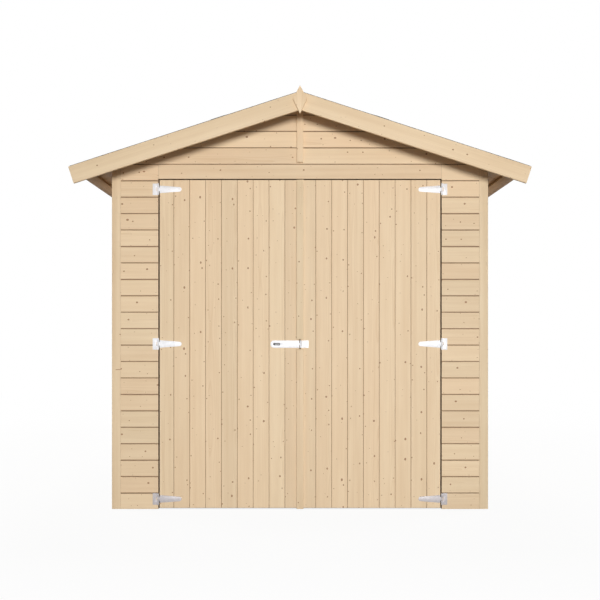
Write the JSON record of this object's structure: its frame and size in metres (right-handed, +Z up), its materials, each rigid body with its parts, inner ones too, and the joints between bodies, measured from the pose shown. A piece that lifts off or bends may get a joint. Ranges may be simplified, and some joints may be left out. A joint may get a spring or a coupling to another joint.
{
  "type": "wooden garage",
  "caption": "Boarded spruce garage with a low gable roof in felt and a pair of ledged and braced doors on strap hinges, closed by a hasp and staple.",
  "frame": {"origin": "middle of the plan at ground level", "axes": "+Z up, doors on the -Y face, +Y towards the back wall, +X to the right seen from the front"},
  "size_m": [2.4, 3.632, 2.243],
  "materials": {
    "cladding": "planed pale spruce, unfinished",
    "frame_timber": "sawn spruce, unfinished",
    "roof_boards": "planed pale spruce, unfinished",
    "roofing_felt": "mineral surfaced bitumen felt",
    "trim_timber": "planed pale spruce, unfinished",
    "door_boards": "planed pale spruce, unfinished",
    "door_timber": "planed spruce, unfinished",
    "hinge_steel": "bright galvanised",
    "hasp_steel": "bright galvanised"
  },
  "bodies": {
    "garage": {"front_wall_left": "cladding", "front_wall_right": "cladding", "front_lintel": "cladding", "front_gable_left": "cladding", "front_gable_right": "cladding", "back_wall": "cladding", "back_gable_left": "cladding", "back_gable_right": "cladding", "left_wall": "cladding", "right_wall": "cladding", "door_posts": "frame_timber", "front_rail": "frame_timber", "back_rail": "frame_timber", "back_studs": "frame_timber", "side_studs": "frame_timber", "side_sole_plates": "frame_timber", "back_sole_plate": "frame_timber", "top_plates": "frame_timber", "gable_rafters": "frame_timber", "gable_posts": "frame_timber", "ridge_beam": "frame_timber", "roof_battens": "frame_timber", "roof_boards_left": "roof_boards", "roof_boards_right": "roof_boards", "roof_felt_left": "roofing_felt", "roof_felt_right": "roofing_felt", "gable_battens": "trim_timber", "corner_posts": "trim_timber", "bargeboards_left": "trim_timber", "bargeboards_right": "trim_timber", "gable_finials": "trim_timber", "hinge_plates_left": "hinge_steel", "hinge_plates_right": "hinge_steel"},
    "left_leaf": {"left_leaf_boards": "door_boards", "left_leaf_ledges": "door_timber", "left_leaf_braces": "door_timber", "hinge_straps_left": "hinge_steel", "hasp_staple": "hasp_steel"},
    "right_leaf": {"right_leaf_boards": "door_boards", "right_leaf_ledges": "door_timber", "right_leaf_braces": "door_timber", "cover_strip": "trim_timber", "hinge_straps_right": "hinge_steel", "hasp_plate": "hasp_steel"},
    "hasp": {"hasp_strap": "hasp_steel"}
  },
  "joints": [
    {"name": "right_door_swing", "type": "hinge", "parent": "garage", "child": "right_leaf", "pos_m": [0.776, -1.5865, 0.904], "axis": [0, 0, 1], "range_deg": [0, 120]},
    {"name": "left_door_swing", "type": "hinge", "parent": "garage", "child": "left_leaf", "pos_m": [-0.776, -1.5865, 0.904], "axis": [0, 0, 1], "range_deg": [-120, 0]},
    {"name": "hasp_swing", "type": "hinge", "parent": "right_leaf", "child": "hasp", "pos_m": [0.004, -1.588, 0.903], "axis": [0, 0, 1], "range_deg": [0, 160]}
  ],
  "couplings": [
    {"joint": "left_door_swing", "follows": "right_door_swing", "ratio": -1}
  ]
}
